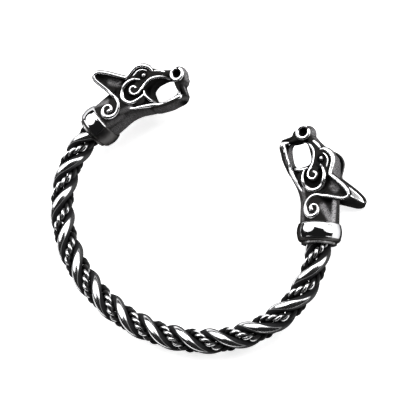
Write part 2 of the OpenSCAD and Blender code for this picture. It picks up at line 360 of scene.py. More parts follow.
def make_piece(
    name: str,
    points: Points,
    faces: Faces | np.ndarray,
    masks: dict[str, np.ndarray],
    material: bpy.types.Material,
    nodes: Iterable[str],
) -> None:
    """Makes one piece of the ring in the frame.

    Args:
        name: The piece's name.
        points: Its points in the row frame, in millimetres.
        faces: Its faces, as rows of point numbers.
        masks: Values from 0 to 1 at each point, by name, for its material.
        material: Its material.
        nodes: The CAD nodes that it stands for.
    """
    mesh = bpy.data.meshes.new(name)
    rows = faces.tolist() if isinstance(faces, np.ndarray) else faces
    mesh.from_pydata((points * MM).tolist(), [], rows)
    mesh.polygons.foreach_set("use_smooth", [True] * len(mesh.polygons))
    for mask, values in masks.items():
        layer = mesh.attributes.new(mask, "FLOAT", "POINT")
        layer.data.foreach_set("value", np.clip(values, 0, 1).astype(np.float32))
    mesh.materials.append(material)
    mesh.update()
    piece = add_object(name, mesh)
    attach(piece, "root")
    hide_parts(*nodes)
    log.info("%s: %d points, %d faces", name, len(points), len(rows))


def unit(rows: np.ndarray) -> np.ndarray:
    """Directions scaled to length 1."""
    return rows / np.linalg.norm(rows, axis=-1, keepdims=True)


def walked(line: Points) -> np.ndarray:
    """The length along a line at each of its points."""
    return np.concatenate([[0], np.cumsum(np.linalg.norm(np.diff(line, axis=0), axis=1))])


def turned(a: np.ndarray, b: np.ndarray, angle: float) -> tuple[np.ndarray, np.ndarray]:
    """Two coordinates turned by an angle in radians."""
    return a * math.cos(angle) - b * math.sin(angle), a * math.sin(angle) + b * math.cos(angle)


def between(ends: Band, share: float) -> float:
    """A value between two ends."""
    return ends[0] + (ends[1] - ends[0]) * share


def smoothstep(low: float, high: float, value: np.ndarray) -> np.ndarray:
    """0 below low, 1 above high, and smooth between."""
    u = np.clip((value - low) / (high - low), 0, 1)
    return u * u * (3 - 2 * u)


def flank_shade(
    upright: np.ndarray, low: float = 0.3, high: float = 0.75, least: float = 0.05
) -> np.ndarray:
    """How much of its polish the metal keeps by the way it faces: painted shade that darkens the
    ring's rim.

    Args:
        upright: How far the surface faces the ring's two broad sides, from -1 to 1.
        low: Where the polish starts.
        high: Where it is whole.
        least: What is left of it on the rim.

    Returns:
        A share, small on the rim and 1 on the broad sides.
    """
    return least + (1 - least) * smoothstep(low, high, np.abs(upright))


def bands(rings: int, sides: int, closed: bool) -> Faces:
    """Four-sided faces between each ring of points and the next.

    Args:
        rings: Number of rings.
        sides: Number of points in each.
        closed: Whether the last ring meets the first.

    Returns:
        The faces.
    """
    faces: Faces = []
    for i in range(rings if closed else rings - 1):
        low = i * sides
        high = (i + 1) % rings * sides
        for k in range(sides):
            m = (k + 1) % sides
            faces.append((low + k, low + m, high + m, high + k))
    return faces


def tube(middles: Points, radius: float, sides: int, up: Points) -> tuple[Points, Faces]:
    """A round wire along a line.

    Args:
        middles: Points of its middle line.
        radius: The wire's radius.
        sides: Number of sides.
        up: A direction at each point, from which the sides are counted.

    Returns:
        Its points and faces.
    """
    way = unit(np.gradient(middles, axis=0))
    across = unit(np.cross(way, up))[:, None]
    out = np.cross(across[:, 0], way)[:, None]
    turn = (np.arange(sides) * math.tau / sides)[None, :, None]
    points = middles[:, None] + radius * (np.cos(turn) * out + np.sin(turn) * across)
    count = len(middles)
    faces = bands(count, sides, closed=False)
    faces.append(tuple(range(sides - 1, -1, -1)))
    faces.append(tuple(range((count - 1) * sides, count * sides)))
    return points.reshape(-1, 3), faces


@dataclass(frozen=True)
class RingLine:
    """The rope's middle line and how the ring lies, in millimetres and degrees."""

    half_width: float = 34.5
    half_depth: float = 27.5
    neck_lean: float = 25.8
    neck_start: float = 2.6
    ear_tip: Triple = (6.21, 8.71, 6.03)
    rope_reach: float = 3.01
    rib_reach: float = 0.42
    fine_steps: int = 6001

    def joint_angle(self) -> float:
        """The oval's own angle at the rope's ends, in radians."""
        lean = math.tan(math.radians(self.neck_lean))
        return math.atan(lean * self.half_depth / self.half_width)

    def oval(self, angles: np.ndarray) -> Points:
        """Points of the middle line, by the oval's own angle."""
        x, y = self.half_width * np.cos(angles), self.half_depth * np.sin(angles)
        return np.stack([x, y, 0 * angles], 1)

    def joint(self) -> Points:
        """The right end of the rope."""
        return self.oval(np.array([self.joint_angle()]))[0]

    def rest_tilt(self) -> float:
        """How far the ring tips back from its ears onto the rope, in radians."""
        lean = math.radians(self.neck_lean)
        place, height, spread = self.ear_tip
        ear_y = self.joint()[1] + (self.neck_start + place) * math.cos(lean)
        ear_y += height * math.sin(lean)
        span = math.hypot(ear_y + self.half_depth, spread)
        slope = math.atan2(spread, ear_y + self.half_depth)
        return slope - math.asin((self.rope_reach - self.rib_reach) / span)

    def lying(self, points: Points) -> Points:
        """Points of the flat ring, moved to where they are as it lies."""
        x, y, z = points.T
        return np.stack([x, *turned(y, z, self.rest_tilt())], 1)

    def at_end(self, points: Points, side: Side) -> Points:
        """Points of an end piece's own frame, moved to their place in the lying ring.

        Args:
            points: Along the neck, towards the outside of the ring, and sideways.
            side: Which end.

        Returns:
            Points in the row frame.
        """
        x, y = turned(points[:, 0], -points[:, 1], math.radians(90 + self.neck_lean))
        start = self.joint()
        return self.lying(np.stack([side.value * (start[0] + x), start[1] + y, -points[:, 2]], 1))

    def rope_frames(self, count: int) -> tuple[np.ndarray, Points, Points]:
        """Even steps along the rope, from its left end to its right.

        Args:
            count: Number of steps.

        Returns:
            Length from the middle of its back, middle points and inward directions.
        """
        fine = np.linspace(-math.pi - self.joint_angle(), self.joint_angle(), self.fine_steps)
        length = walked(self.oval(fine))
        length -= length[-1] / 2
        even = np.linspace(length[0], length[-1], count)
        angles = np.interp(even, length, fine)
        way = unit(self.oval(angles + math.pi / 2))
        return even, self.oval(angles), np.cross(way, UP)


@dataclass
class Rope:
    """Two smooth strands and two pairs of twisted wires, laid together."""

    line: RingLine
    lay: float = 17.66
    start: float = 53.0
    smooth_radius: float = 1.25
    smooth_orbit: float = 1.76
    smooth_sides: int = 40
    smooth_rings: int = 900
    smooth_crest: Band = (0.42, 0.92)
    # Where the painted shade on the smooth strands' rim fades out.
    smooth_flank: Band = (0.42, 0.8)
    pair_orbit: float = 1.89
    wire_radius: float = 0.49
    wire_orbit: float = 0.47
    wire_pitch: float = 3.2
    wire_sides: int = 12
    wire_rings: int = 1100
    wire_heights: Band = (-0.09, 0.21)
    wire_crest: Band = (0.6, 0.9)
    # Strength of the painted grey sheen on the strands' rim.
    rim_sheen: float = 0.3
    smooth_finish: MetalFinish = MetalFinish(
        "polished_wire", black=(0.02, 0.02, 0.021), wear=0.04, bright=(0.8, 0.8, 0.81),
        dent_depth=0.003, bright_roughness=0.17, painted_light=(0.2, 0.2, 0.2), sheen_contrast=0.0,
    )
    twisted_finish: MetalFinish = MetalFinish(
        "twisted_wire", black=(0.016, 0.016, 0.0165), wear=0.06, bright=(0.74, 0.74, 0.75),
        dent_depth=0.003, bright_roughness=0.22, painted_light=(0.2, 0.2, 0.2), sheen_contrast=0.0,
    )

    def strand_line(self, orbit: float, start: float, count: int) -> tuple[Points, Points]:
        """The middle line of a strand.

        Args:
            orbit: Its distance from the rope's middle.
            start: Its turn round the rope at the middle of the back, in degrees.
            count: Number of points.

        Returns:
            Its middle points, and the directions from the rope's middle to them.
        """
        length, middle, inward = self.line.rope_frames(count)
        turn = np.radians(start + 360 * length / self.lay)[:, None]
        side = np.cos(turn) * UP + np.sin(turn) * inward
        return middle + orbit * side, side

    def masks(self, crest: np.ndarray, flat: np.ndarray) -> dict[str, np.ndarray]:
        """How bright a strand is, with painted shade on the ring's rim and a painted grey sheen
        there.

        Args:
            crest: 1 on the strand's crest and 0 in its grooves.
            flat: Small on the ring's rim and 1 on its broad sides.

        Returns:
            The finish's masks.
        """
        painted_sheen = self.rim_sheen * crest * (1 - flat)
        return {"polish": (crest * flat).reshape(-1), "painted_sheen": painted_sheen.reshape(-1)}

    def build_smooth(self, number: int, start: float) -> None:
        """Builds one smooth strand.

        Args:
            number: Its number in the CAD model.
            start: Its turn at the middle of the back, in degrees.
        """
        middle, side = self.strand_line(self.smooth_orbit, start, self.smooth_rings)
        points, faces = tube(middle, self.smooth_radius, self.smooth_sides, side)
        away = unit(points.reshape(-1, self.smooth_sides, 3) - middle[:, None])
        crest = smoothstep(*self.smooth_crest, (away * side[:, None]).sum(2))
        # Painted shade on the rim, by the way the surface faces.
        masks = self.masks(crest, flank_shade(away[:, :, 2], *self.smooth_flank))
        make_piece(
            f"smooth_wire_{number}", self.line.lying(points), faces, masks,
            self.smooth_finish.material(), [f"smooth_strand_{number}"],
        )

    def build_pair(self, number: int, start: float) -> None:
        """Builds one pair of thin wires that are twisted round each other.

        Args:
            number: Its number in the CAD model.
            start: Its turn at the middle of the back, in degrees.
        """
        middle, side = self.strand_line(self.pair_orbit, start, self.wire_rings)
        across = np.cross(unit(np.gradient(middle, axis=0)), side)
        both_points: list[Points] = []
        both_faces: Faces = []
        crests: list[np.ndarray] = []
        for half in (0, 1):
            turn = (half * math.pi - math.tau * walked(middle) / self.wire_pitch)[:, None]
            out = np.cos(turn) * side + np.sin(turn) * across
            points, faces = tube(
                middle + self.wire_orbit * out, self.wire_radius, self.wire_sides, out
            )
            ring = points.reshape(-1, self.wire_sides, 3) - middle[:, None]
            height = (ring * side[:, None]).sum(2)
            tilt = self.wire_orbit * (out * side).sum(1, keepdims=True)
            facing = (height - tilt) / self.wire_radius
            crest = smoothstep(*self.wire_heights, height)
            crests.append(crest * smoothstep(*self.wire_crest, facing))
            both_points.append(points)
            both_faces += [tuple(k + half * len(points) for k in face) for face in faces]
        # Painted shade on the rim, by the way each pair's side faces.
        flat = np.tile(flank_shade(side[:, 2]), 2)[:, None]
        make_piece(
            f"wire_pair_{number}", self.line.lying(np.concatenate(both_points)), both_faces,
            self.masks(np.concatenate(crests), flat),
            self.twisted_finish.material(), [f"twisted_strand_{number}"],
        )

    def build(self) -> None:
        """Builds all four strands."""
        for number, half_turn in ((1, 0.0), (2, 180.0)):
            self.build_smooth(number, self.start + half_turn)
            self.build_pair(number, self.start + half_turn + 90.0)


@dataclass
class Ferrule:
    """The polished barrel that joins the rope to a head."""

    line: RingLine
    radius: float = 4.98
    bulge: float = 0.24
    length: float = 4.3
    rope_edge: float = 0.9
    neck_edge: float = 0.6
    step_radius: float = 4.1
    step_length: float = 0.6
    step_edge: float = 0.2
    seam_width: float = 0.08
    seam_depth: float = 0.05
    rope_depth: float = 1.8
    rope_bore: float = 3.16
    peg_bore: float = 3.68
    neck_bore: float = 4.58
    neck_lip: float = 0.02
    neck_depth: float = 0.5
    segments: int = 160
    step_polish: Band = (0.3, 0.35)
    shoulder_polish: float = 0.6
    edge_polish: Band = (0.1, 1.0)
    edge_fade: float = 6.0
    lip_polish: float = 0.4
    # Painted shade on the barrel's rim: how much its outer side is spared, and where the shade
    # fades out.
    outer_shade_offset: float = 0.45
    flank_shade_band: Band = (0.45, 0.65)
    finish: MirrorFinish = MirrorFinish("mirror_steel")

    @staticmethod
    def quarter(steps: int) -> Iterable[tuple[float, float, float]]:
        """Even steps through a quarter turn, as share, sine, and 1 less the cosine.

        Args:
            steps: Number of steps.

        Yields:
            A row for each step.
        """
        for k in range(1, steps + 1):
            angle = math.pi / 2 * k / steps
            yield k / steps, math.sin(angle), 1 - math.cos(angle)

    def outline(self) -> list[tuple[float, float, float]]:
        """The section that is turned round the axis.

        Returns:
            Its points, as place along the axis, radius and polish.
        """
        start = -self.rope_depth
        back = self.step_length - self.rope_depth
        face = back + self.length
        step = self.step_radius - self.step_edge
        shoulder = self.radius - self.rope_edge
        rows = [(start, self.rope_bore, 0.0), (start, step, self.step_polish[0])]
        for _, rise, fall in self.quarter(6):
            place = start + self.step_edge * fall
            rows.append((place, step + self.step_edge * rise, self.step_polish[1]))
        rows.append((back - self.seam_width, self.step_radius, self.step_polish[0]))
        rows.append((back, self.step_radius - self.seam_depth, 0.0))
        rows.append((back, shoulder, self.shoulder_polish))
        for share, rise, fall in self.quarter(16):
            place = back + self.rope_edge * fall
            polish = between(self.edge_polish, share**self.edge_fade)
            rows.append((place, shoulder + self.rope_edge * rise, polish))
        barrel = (back + self.rope_edge, face - self.neck_edge)
        for share, _, _ in self.quarter(16):
            belly = self.bulge * 4 * share * (1 - share)
            rows.append((between(barrel, share), self.radius + belly, 1.0))
        for _, rise, fall in self.quarter(8):
            place = barrel[1] + self.neck_edge * rise
            rows.append((place, self.radius - self.neck_edge * fall, 1.0))
        floor = face - self.neck_depth - self.seam_width
        rows.append((face, self.neck_bore + self.neck_lip, self.lip_polish))
        inside = (
            (face - self.seam_depth, self.neck_bore), (floor, self.neck_bore),
            (floor, self.peg_bore), (0.0, self.peg_bore), (0.0, self.rope_bore),
        )
        return rows + [(place, radius, 0.0) for place, radius in inside]

    def build(self, side: Side) -> None:
        """Turns the ferrule of one end.

        Args:
            side: Which end.
        """
        rows = self.outline()
        turn = np.arange(self.segments) * math.tau / self.segments
        place, radius, polish = (np.repeat(column, self.segments) for column in zip(*rows))
        around = np.tile(turn, len(rows))
        points = np.stack([place, radius * np.cos(around), radius * np.sin(around)], 1)
        # How far the barrel faces the ring's broad sides, leaning to its outer side; painted shade
        # darkens it where it faces the rim.
        painted_light = np.abs(np.sin(around)) + self.outer_shade_offset * np.cos(around)
        faces = bands(len(rows), self.segments, closed=True)
        name = side.name.lower()
        make_piece(
            f"ferrule_{name}", self.line.at_end(points, side),
            faces if side is Side.RIGHT else [face[::-1] for face in faces],
            {"polish": polish * flank_shade(painted_light, *self.flank_shade_band)},
            self.finish.material(), [f"collar_{name}"],
        )


class Clay:
    """Half of a head as distances to its surface, on a grid that is mirrored at the end.

    x runs from the neck to the nose, y to the top of the head and z to its side. A solid is a
    window of the grid and the distances in it, in millimetres.
    """

    LOW = (-0.7, -10.6, 0.0)
    HIGH = (24.9, 9.6, 7.1)
    FAR = 9.0
    LOFT_MARGINS = (1.2, 1.5)
    ELLIPSOID_MARGIN = 1.2
    LEAST_RADIUS = 1e-5
    LEAST_SLOPE = 0.1
    ROD_MARGIN = 0.8
    END_FILLET = 0.5
    RELIEF_FILLET = 0.12
    OPEN_REACHES = (0.5, 1.0, 1.8)
    OPEN_BAND = (0.55, 0.98)

    def __init__(self, step: float) -> None:
        """Starts with nothing, on a grid of one step, in millimetres.

        Args:
            step: The grid's step.
        """
        self.step = step
        self.axes = [
            np.arange(low, high, step, dtype=np.float32) for low, high in zip(self.LOW, self.HIGH)
        ]
        shape = tuple(len(a) for a in self.axes)
        self.body = np.full(shape, self.FAR, np.float32)
        self.raised = np.full(shape, self.FAR, np.float32)

    def window(self, low: Sequence[float], high: Sequence[float]) -> Window:
        """The part of the grid inside a box.

        Args:
            low: The box's lowest x, y and z.
            high: Its highest.

        Returns:
            A slice for each axis.
        """
        cuts = []
        for axis, a, b in zip(self.axes, low, high):
            first = int(np.clip(np.searchsorted(axis, a), 0, len(axis) - 1))
            last = int(np.clip(np.searchsorted(axis, b) + 1, 1, len(axis)))
            cuts.append(slice(first, last))
        return tuple(cuts)

    def places(self, cut: Window) -> tuple[np.ndarray, np.ndarray, np.ndarray]:
        """The grid's x, y and z inside a window, ready to be combined."""
        x, y, z = (axis[c] for axis, c in zip(self.axes, cut))
        return x[:, None, None], y[None, :, None], z[None, None, :]

    @staticmethod
    def joined(a: np.ndarray, b: np.ndarray, soft: float) -> np.ndarray:
        """Two solids as one, with a fillet about as wide as soft.

        Args:
            a: Distances to the first.
            b: Distances to the second.
            soft: The fillet's width.

        Returns:
            Distances to both together.
        """
        h = np.clip(0.5 + 0.5 * (b - a) / soft, 0, 1)
        return b + (a - b) * h - soft * h * (1 - h)

    def add(self, cut: Window, distance: np.ndarray, soft: float) -> None:
        """Adds a solid to the body."""
        self.body[cut] = self.joined(self.body[cut], distance.astype(np.float32), soft)

    def carve(self, cut: Window, distance: np.ndarray, soft: float) -> None:
        """Takes a solid out of the body."""
        self.body[cut] = -self.joined(-self.body[cut], distance.astype(np.float32), soft)

    def lift(self, cut: Window, distance: np.ndarray) -> None:
        """Adds a solid to the relief."""
        self.raised[cut] = np.minimum(self.raised[cut], distance)

    def bar(self, points: Sequence[Sequence[float]], soft: float) -> None:
        """Adds a round bar to the body."""
        self.add(*self.rod(points), soft)

    def groove(self, points: Sequence[Sequence[float]], soft: float = 0.25) -> None:
        """Cuts a round-bottomed groove."""
        self.carve(*self.rod(points), soft)

    def rib(self, points: Sequence[Sequence[float]]) -> None:
        """Raises a rib."""
        self.lift(*self.rod(points))

    def loft(self, rows: Table, soft: float) -> None:
        """Adds a body through oval sections.

        Args:
            rows: Place, top, bottom, half width, squareness and taper of each section.
            soft: Width of the fillet to what is there.
        """
        table = np.array(rows)
        x0, x1 = table[0, 0], table[-1, 0]
        past, over = self.LOFT_MARGINS
        low = (x0 - past, table[:, 2].min() - over, -self.FAR)
        cut = self.window(low, (x1 + past, table[:, 1].max() + over, self.FAR))
        x, y, z = self.places(cut)
        along = np.clip(x[:, 0, 0], x0, x1)
        top, bottom, half, power, taper = (
            smooth_through(table[:, 0], table[:, c], along)[:, None, None] for c in range(1, 6)
        )
        tall = (top - bottom) / 2
        up = (y - (top + bottom) / 2) / tall
        wide = half * (1 + taper * np.clip(up, -1, 1))
        u = np.abs(up) + SMALL
        v = np.abs(z) / wide + SMALL
        g = squared(u, v, power)
        steep = np.sqrt(((u / g) ** (power - 1) / tall) ** 2 + ((v / g) ** (power - 1) / wide) ** 2)
        inside = np.minimum(x - x0, x1 - x) + 0 * up
        self.add(cut, -self.joined((1 - g) / steep, inside, self.END_FILLET), soft)

    def ellipsoid(self, centre: Triple, radii: Triple) -> tuple[Window, np.ndarray]:
        """An ellipsoid, by its centre and its radii.

        Args:
            centre: Its x, y and z.
            radii: Its radii along x, y and z.

        Returns:
            Its window and distances.
        """
        reach = np.array(radii) + self.ELLIPSOID_MARGIN
        cut = self.window(np.array(centre) - reach, np.array(centre) + reach)
        scaled = [(p - c) / r for p, c, r in zip(self.places(cut), centre, radii)]
        k = np.sqrt(sum(s * s for s in scaled)) + self.LEAST_RADIUS
        steep = np.sqrt(sum((s / r) ** 2 for s, r in zip(scaled, radii))) / k
        return cut, (k - 1) / np.maximum(steep, self.LEAST_SLOPE)

    def rod(self, rows: Sequence[Sequence[float]]) -> tuple[Window, np.ndarray]:
        """A round bar through points, by rows of x, y, z and radius.

        Args:
            rows: A row for each point.

        Returns:
            Its window and distances.
        """
        points = np.array(rows)
        reach = points[:, 3].max() + self.ROD_MARGIN
        cut = self.window(points[:, :3].min(0) - reach, points[:, :3].max(0) + reach)
        best = np.full([c.stop - c.start for c in cut], self.FAR, np.float32)
        for a, b in zip(points[:-1], points[1:]):
            near = max(a[3], b[3]) + self.ROD_MARGIN
            part = self.window(np.minimum(a, b)[:3] - near, np.maximum(a, b)[:3] + near)
            way = (b - a)[:3]
            off = [place - start for place, start in zip(self.places(part), a)]
            t = sum(o * w for o, w in zip(off, way)) / (float(way @ way) + TINY)
            t = np.clip(t, 0, 1)
            gap = np.sqrt(sum((o - t * w) ** 2 for o, w in zip(off, way)))
            inner = tuple(slice(p.start - c.start, p.stop - c.start) for p, c in zip(part, cut))
            best[inner] = np.minimum(best[inner], gap - (a[3] + t * (b[3] - a[3])))
        return cut, best

    def surface_side(self, x: float, y: float) -> float:
        """How far out to the side the body's surface is at one place of the profile.

        Args:
            x: The place's x.
            y: Its y.

        Returns:
            The surface's z, or 0 off the body.
        """
        i, j = (int(round((v - a[0]) / self.step)) for v, a in zip((x, y), self.axes))
        column = self.body[i, j]
        inside = np.nonzero(column < 0)[0]
        if len(inside) == 0:
            return 0.0
        k = inside[-1]
        share = column[k] / (column[k] - column[k + 1])
        return float(self.axes[2][k] + share * self.step)

    @staticmethod
    def mirrored(half: np.ndarray) -> np.ndarray:
        """The whole grid of values from its half."""
        return np.concatenate([half[:, :, :0:-1], half], 2)

    def mesh(self) -> tuple[Points, np.ndarray, np.ndarray, Points, np.ndarray]:
        """The surface of body and relief together.

        Returns:
            Points, four-sided faces, and at each point its height over the body alone, the way it
            faces and how open the ground is there.
        """
        body = self.mirrored(self.body)
        raised = self.mirrored(self.raised)
        whole = without_specks(self.joined(body, raised, self.RELIEF_FILLET))
        origin = np.array([self.axes[0][0], self.axes[1][0], -self.axes[2][-1]])
        slopes = [s.astype(np.float32) for s in np.gradient(whole)]
        cells, faces = surface_net(whole)
        cells = settled(cells, faces, whole, slopes)
        facing = np.stack([sampled(s, cells) for s in slopes], 1)
        facing /= np.linalg.norm(facing, axis=1, keepdims=True) + TINY
        # How open the ground is, from which the finish paints shade in hollows.
        openness = np.zeros(len(cells))
        for reach in self.OPEN_REACHES:
            far = sampled(whole, cells + facing * reach / self.step)
            openness += np.clip(far / reach, 0, 1) / len(self.OPEN_REACHES)
        openness = smoothstep(*self.OPEN_BAND, openness)
        return origin + cells * self.step, faces, sampled(body, cells), facing, openness


def squared(u: np.ndarray, v: np.ndarray, power: float | np.ndarray) -> np.ndarray:
    """How far out a place is in a rounded square of half width 1, from 0 in its middle."""
    return (u**power + v**power) ** (1 / power)


def smooth_through(places: np.ndarray, values: np.ndarray, at: np.ndarray) -> np.ndarray:
    """Values on a smooth curve through a table's rows.

    Args:
        places: Where the rows are, in rising order.
        values: The rows' values.
        at: Where values are wanted.

    Returns:
        The values there.
    """
    slopes = np.gradient(values, places)
    i = np.clip(np.searchsorted(places, at, side="right") - 1, 0, len(places) - 2)
    span = places[i + 1] - places[i]
    u = (at - places[i]) / span
    return (
        values[i] * (1 + 2 * u) * (1 - u) ** 2
        + slopes[i] * span * u * (1 - u) ** 2
        + values[i + 1] * u * u * (3 - 2 * u)
        - slopes[i + 1] * span * u * u * (1 - u)
    )


def without_specks(d: np.ndarray) -> np.ndarray:
    """A grid of distances without its single points that lie on the other side of the surface.

    Args:
        d: The grid.

    Returns:
        The cleaned grid.
    """
    inside = d < 0
    near = np.zeros(d.shape, np.int8)
    for axis in range(3):
        for shift in (-1, 1):
            near += np.roll(inside, shift, axis)
    return np.where(inside & (near == 0), -d, np.where(~inside & (near == 6), -d - INSIDE, d))


def surface_net(d: np.ndarray) -> tuple[Points, np.ndarray]:
    """The surface where a grid of distances is zero.

    Args:
        d: The grid.

    Returns:
        Points in grid steps, and four-sided faces.
    """
    inside = d < 0
    count = sum(
        inside[tuple(slice(a, n - 1 + a) for a, n in zip(corner, d.shape))].astype(np.int8)
        for corner in CORNERS
    )
    mixed = (count > 0) & (count < len(CORNERS))
    cells = np.argwhere(mixed)
    number = np.full(mixed.shape, -1, np.int64)
    number[mixed] = np.arange(len(cells))
    total = np.zeros((len(cells), 3))
    crossings = np.zeros(len(cells))
    for corner in CORNERS:
        for axis in range(3):
            if corner[axis]:
                continue
            along = np.eye(3, dtype=int)[axis]
            first, second = (d[tuple((cells + c).T)] for c in (corner, corner + along))
            crossed = (first < 0) != (second < 0)
            share = np.where(crossed, first / np.where(crossed, first - second, 1), 0)
            total += (corner + share[:, None] * along) * crossed[:, None]
            crossings += crossed
    faces = []
    for axis in range(3):
        start, end = (np.delete(inside, edge, axis) for edge in (-1, 0))
        at = np.argwhere(start != end)
        outward = start[tuple(at.T)]
        ring = []
        for shift in ((1, 1), (0, 1), (0, 0), (1, 0)):
            ring.append(number[tuple((at - np.insert(shift, axis, 0)).T)])
        quads = np.stack(ring, 1)
        flip = outward if axis == 1 else ~outward
        quads[flip] = quads[flip][:, ::-1]
        faces.append(quads)
    return cells + total / crossings[:, None], np.concatenate(faces)


def sampled(d: np.ndarray, points: Points) -> np.ndarray:
    """Values of a grid at points in grid steps.

    Args:
        d: The grid.
        points: The points.

    Returns:
        A value for each point.
    """
    place = np.clip(points, 0, np.array(d.shape) - 1 - INSIDE)
    low = place.astype(np.int64)
    total = np.zeros(len(points))
    for corner in CORNERS:
        share = np.abs(1 - np.array(corner) - (place - low)).prod(1)
        total += share * d[tuple((low + corner).T)]
    return total


def settled(
    points: Points,
    faces: np.ndarray,
    d: np.ndarray,
    slopes: list[np.ndarray],
    rounds: int = 3,
    longest: float = 0.6,
) -> Points:
    """Points evened out along the surface.

    Args:
        points: Points in grid steps.
        faces: Four-sided faces.
        d: The grid of distances.
        slopes: How the distance grows along each axis.
        rounds: How many times to even out.
        longest: The longest move back to the surface in a round, along each axis.

    Returns:
        The moved points.
    """
    for _ in range(rounds):
        total = np.zeros_like(points)
        count = np.zeros(len(points))
        for a, b in zip(faces.T, np.roll(faces, -1, 1).T):
            for here, there in ((a, b), (b, a)):
                np.add.at(total, here, points[there])
                np.add.at(count, here, 1)
        points = (points + total / count[:, None]) / 2
        slope = np.stack([sampled(s, points) for s in slopes], 1)
        steep = np.maximum((slope**2).sum(1), SMALL)
        move = -sampled(d, points)[:, None] * slope / steep[:, None]
        points = points + np.clip(move, -longest, longest)
    return points


def spline(rows: Sequence[Sequence[float]], parts: int = 5) -> Points:
    """A smooth curve through rows of numbers.

    Args:
        rows: The rows.
        parts: Number of parts from each row to the next.

    Returns:
        The curve's rows.
    """
    table = np.array(rows)
    padded = np.concatenate([[2 * table[0] - table[1]], table, [2 * table[-1] - table[-2]]])
    curve = []
    for p0, p1, p2, p3 in zip(padded, padded[1:], padded[2:], padded[3:]):
        for k in range(parts):
            u = k / parts
            bend = (2 * p0 - 5 * p1 + 4 * p2 - p3) * u**2
            curve.append(
                0.5 * (2 * p1 + (p2 - p0) * u + bend + (3 * p1 - p0 - 3 * p2 + p3) * u**3)
            )
    return np.array(curve + [table[-1]])


def as_bar(line: Points, shift: tuple[float, ...]) -> Points:
    """A line's points moved by a shift, whose last number is their radius."""
    return np.pad(line, ((0, 0), (0, 1))) + np.array(shift)


def outline_distance(x: np.ndarray, y: np.ndarray, loop: Points) -> np.ndarray:
    """How far places of the profile are from a closed line, negative inside it.

    Args:
        x: The places' x.
        y: Their y.
        loop: The line's points.

    Returns:
        The distances.
    """
    gap = np.full(np.broadcast_shapes(x.shape, y.shape), np.inf)
    crossings = np.zeros(gap.shape, int)
    for a, b in zip(loop, np.roll(loop, -1, 0)):
        way = (b - a)[:2]
        off_x, off_y = x - a[0], y - a[1]
        t = np.clip((off_x * way[0] + off_y * way[1]) / (way @ way + TINY), 0, 1)
        gap = np.minimum(gap, np.hypot(off_x - t * way[0], off_y - t * way[1]))
        rise = way[1] if abs(way[1]) > TINY else TINY
        crossings += ((a[1] > y) != (b[1] > y)) & (off_x < off_y * way[0] / rise)
    return np.where(crossings % 2 == 1, -gap, gap)


@dataclass(frozen=True)
class Curl:
    """A curl on the side of the head, from its start to its end.

    Angles are in degrees. A late curl changes its radius late, and a swelling one is thickest
    near its middle.
    """

    centre: Band
    radii: Band
    angles: Band
    thick: Band
    stretch: Band = (1.0, 1.0)
    late: float = 1.0
    swell: float = 0.0
    swell_span: Band = (0.0, 1.0)
    swell_power: float = 1.0
    steps: int = 14

    def rows(self) -> Table:
        """Its x, y and rib radius, step by step."""
        rows = []
        for i in range(self.steps + 1):
            u = i / self.steps
            angle = math.radians(between(self.angles, u))
            radius = between(self.radii, u**self.late)
            x = self.centre[0] + self.stretch[0] * radius * math.cos(angle)
            y = self.centre[1] + self.stretch[1] * radius * math.sin(angle)
            swelling = math.sin(math.pi * between(self.swell_span, u)) ** self.swell_power
            rows.append((x, y, between(self.thick, u) + self.swell * swelling))
        return tuple(rows)


